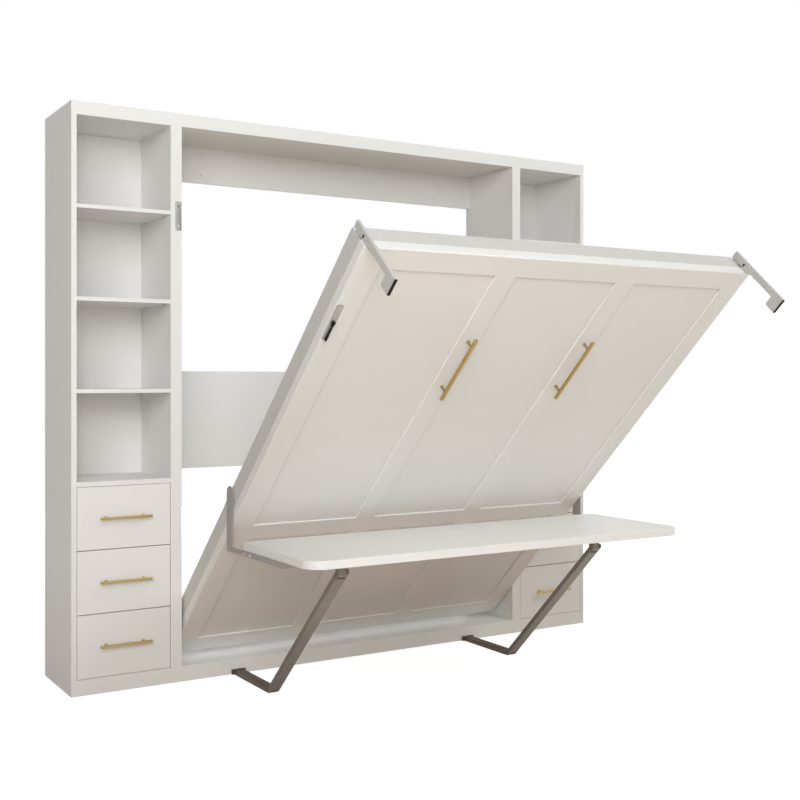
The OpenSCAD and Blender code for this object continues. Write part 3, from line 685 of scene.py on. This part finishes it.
# latch lever: a hub, a waisted neck and a thick grip, moulded black, with a steel tip
latch = dict(edge=1.1 * mm, hub=6.5 * mm, tip=2 * mm, tipEase=1 * mm, tipFrom=70 * mm,
             hole=3.6 * mm, boreLong=30 * mm, over=5 * mm)
leverWaist = [(2.0, 16), (1.9, 25), (2.8, 32), (2.8, 36), (2.0, 42), (3.3, 51), (3.4, 66), (2.6, 72)]
outline = [(x + hubX, z + hubZ) for x, z in arc((0, 0), latch["hub"], -40, 220, 20)]
outline += [(hubX - half * mm, hubZ - down * mm) for half, down in leverWaist]
outline += [(hubX + half * mm, hubZ - down * mm) for half, down in reversed(leverWaist)]
shape = bmesh.new()
plate(shape, outline, leverLow.y, leverHigh.y)
leverPiece = bevelled(fromShape("latchLever", shape), latch["edge"], 3)
shape = bmesh.new()
bore = [(0, 0), (latch["hole"], 0), (latch["hole"], latch["boreLong"]), (0, latch["boreLong"])]
turned(shape, (hubX, leverLow.y - latch["over"], hubZ), (0, 1, 0), bore)
cutOut(leverPiece, fromShape("leverCutter", shape))
leverPiece.data.transform(onBed)
setOut(leverPiece, "latch", "black_lever", black, "latch_lever")
tip = pegProfile(latch["tip"], hubZ - latch["tipFrom"] - leverLow.z, latch["tipEase"])
shape = bmesh.new()
turned(shape, (hubX, (leverLow.y + leverHigh.y) / 2, hubZ - latch["tipFrom"]), (0, 0, -1), tip, 20)
shape.transform(onBed)
setOut(fromShape("latchTip", shape), "latch", "nickel_steel", nickel)
print("latch done")

# pulls: a round bar with eased ends on two turned posts
pulls = dict(ease=1.0 * mm, post=4 * mm, foot=6.5 * mm, footRim=1.2 * mm, footTop=3.2 * mm, sunk=0.4)


def pull(shape, centre, along, outward, length, gap, radius, reach):
    along = Vector(along)
    outward = Vector(outward)
    axis = Vector(centre) + outward * reach
    bar = rodProfile(radius, 0, length, pulls["ease"])
    turned(shape, axis - along * length / 2, along, bar)
    top = reach - radius * pulls["sunk"]
    post = [(0, 0), (pulls["foot"], 0), (pulls["foot"], pulls["footRim"]),
            (pulls["post"], pulls["footTop"]), (pulls["post"], top), (0, top)]
    for sign in (-1, 1):
        turned(shape, Vector(centre) + along * sign * gap / 2, outward, post, 24)


drawer = dict(frontEdge=1.2 * mm, boxEdge=0.8 * mm)
drawerPull = dict(length=204 * mm, gap=148 * mm, radius=5 * mm, reach=26 * mm)
for side in ("left", "right"):
    for level in ("top", "mid", "low"):
        body = f"{side}_{level}_drawer"
        front, box = body + "_front", body + "_box"
        setOut(rounded(front, drawer["frontEdge"], 3), body, "white_paint", white, front)
        setOut(rounded(box, drawer["boxEdge"]), body, "white_paint", boxWhite, box)
        low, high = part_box(front)
        centre = ((low.x + high.x) / 2, low.y, (low.z + high.z) / 2)
        shape = bmesh.new()
        pull(shape, centre, (1, 0, 0), (0, -1, 0), **drawerPull)
        setOut(fromShape(body + "Pull", shape), body, "brass_pull", brass, body + "_handle")
print("drawers done")

bedPull = dict(length=272 * mm, gap=206 * mm, radius=6.5 * mm, reach=30 * mm)
low, high = closedBox("bed_handles")
shape = bmesh.new()
for x in (low.x + bedPull["radius"], high.x - bedPull["radius"]):
    pull(shape, (x, frontY, (low.z + high.z) / 2), (0, 0, 1), (0, -1, 0), **bedPull)
shape.transform(onBed)
setOut(fromShape("bedPulls", shape), "bed", "brass_pull", brass, "bed_handles")
for piece in (bodyScrew, smallScrew):
    bpy.data.objects.remove(piece)
print("bed pulls done")


# studio: a floor that the camera sees as the white page, with the object's faint shadow
studio = dict(half=12, page=(0.30, 0.30, 0.30), pageGlow=(0.88, 0.875, 0.87), bounce=(0.95, 0.87, 0.77),
              bounceNear=(0.40, 0.275, 0.15), near=1.0, far=3.2, air=0.1, airColour=(1.0, 0.87, 0.73),
              aim=(0, -0.4, 1.0))


# 1 for the rays that show the page: from the camera, mirrored or passed through
def pageRays(network):
    kinds = ("Camera", "Glossy", "Transmission")
    seen = [network.node("ShaderNodeLightPath", out=f"Is {kind} Ray") for kind in kinds]
    return seen[0].combine("MAXIMUM", seen[1]).combine("MAXIMUM", seen[2])


floorFinish = Finish("studioFloor", Roughness=0.9)
away = floorFinish.node("ShaderNodeVectorMath", {"operation": "LENGTH"}, out=1, i0=floorFinish.place)
spread = floorFinish.node("ShaderNodeMapRange", {"interpolation_type": "SMOOTHSTEP"}, Value=away,
                          From_Min=studio["near"], From_Max=studio["far"])
floorFinish.feed("Base Color", floorFinish.tint(spread, studio["bounceNear"], studio["bounce"]))
pageColour = floorFinish.node("ShaderNodeBsdfDiffuse", Color=(*studio["page"], 1))
glow = floorFinish.tint(spread, studio["pageGlow"], (1, 1, 1))
pageGlow = floorFinish.node("ShaderNodeEmission", Color=glow, Strength=1.0)
page = floorFinish.node("ShaderNodeAddShader", i0=pageColour, i1=pageGlow)
lit = Value(floorFinish.tree, floorFinish.shader.outputs[0])
shown = floorFinish.node("ShaderNodeMixShader", i0=pageRays(floorFinish), i1=lit, i2=page)
floorFinish.tree.links.new(shown.socket, floorFinish.tree.nodes["Material Output"].inputs["Surface"])
half = studio["half"]
floorMesh = bpy.data.meshes.new("studioFloor")
floorCorners = [(-half, -half, 0), (half, -half, 0), (half, half, 0), (-half, half, 0)]
floorMesh.from_pydata(floorCorners, [], [(0, 1, 2, 3)])
floorMesh.materials.append(floorFinish.material)
newObject("studioFloor", floorMesh)

world = bpy.data.worlds.new("studioWorld")
bpy.context.scene.world = world
world.use_nodes = True
sky = Network(world.node_tree)
air = sky.node("ShaderNodeBackground", Color=(*studio["airColour"], 1), Strength=studio["air"])
blank = sky.node("ShaderNodeBackground", Color=(1, 1, 1, 1), Strength=1.0)
shown = sky.node("ShaderNodeMixShader", i0=pageRays(sky), i1=air, i2=blank)
sky.tree.links.new(shown.socket, sky.tree.nodes["World Output"].inputs["Surface"])

lamps = [
    dict(name="leftKey", place=(-4.2, -5.4, 3.5), size=3.0, power=188, colour=(0.97, 0.99, 1.0)),
    dict(name="nearFill", place=(-2.5, -6.0, 2.2), size=2.5, power=86, colour=(0.99, 0.99, 1.0)),
    dict(name="rightFill", place=(3.0, -6.0, 3.9), size=3.0, power=30, colour=(0.85, 0.93, 1.0)),
    dict(name="rightHigh", place=(3.5, -4.5, 6.0), size=3.5, power=160, colour=(0.97, 1.0, 0.95)),
    dict(name="backFill", place=(1.2, 5.2, 1.05), size=2.0, power=110, colour=(1.0, 0.99, 0.975),
         mirrored=False),
    dict(name="rightSide", place=(6.5, -0.3, 1.2), size=2.0, power=110, colour=(1.0, 0.99, 0.975),
         mirrored=False),
]
for lamp in lamps:
    light = bpy.data.lights.new(lamp["name"], "AREA")
    light.size = lamp["size"]
    light.energy = lamp["power"]
    light.color = lamp["colour"]
    made = bpy.data.objects.new(lamp["name"], light)
    bpy.context.scene.collection.objects.link(made)
    made.location = lamp["place"]
    aim = Vector(studio["aim"]) - Vector(lamp["place"])
    made.rotation_euler = aim.to_track_quat("-Z", "Y").to_euler()
    made.visible_glossy = lamp.get("mirrored", True)
print("studio lit")
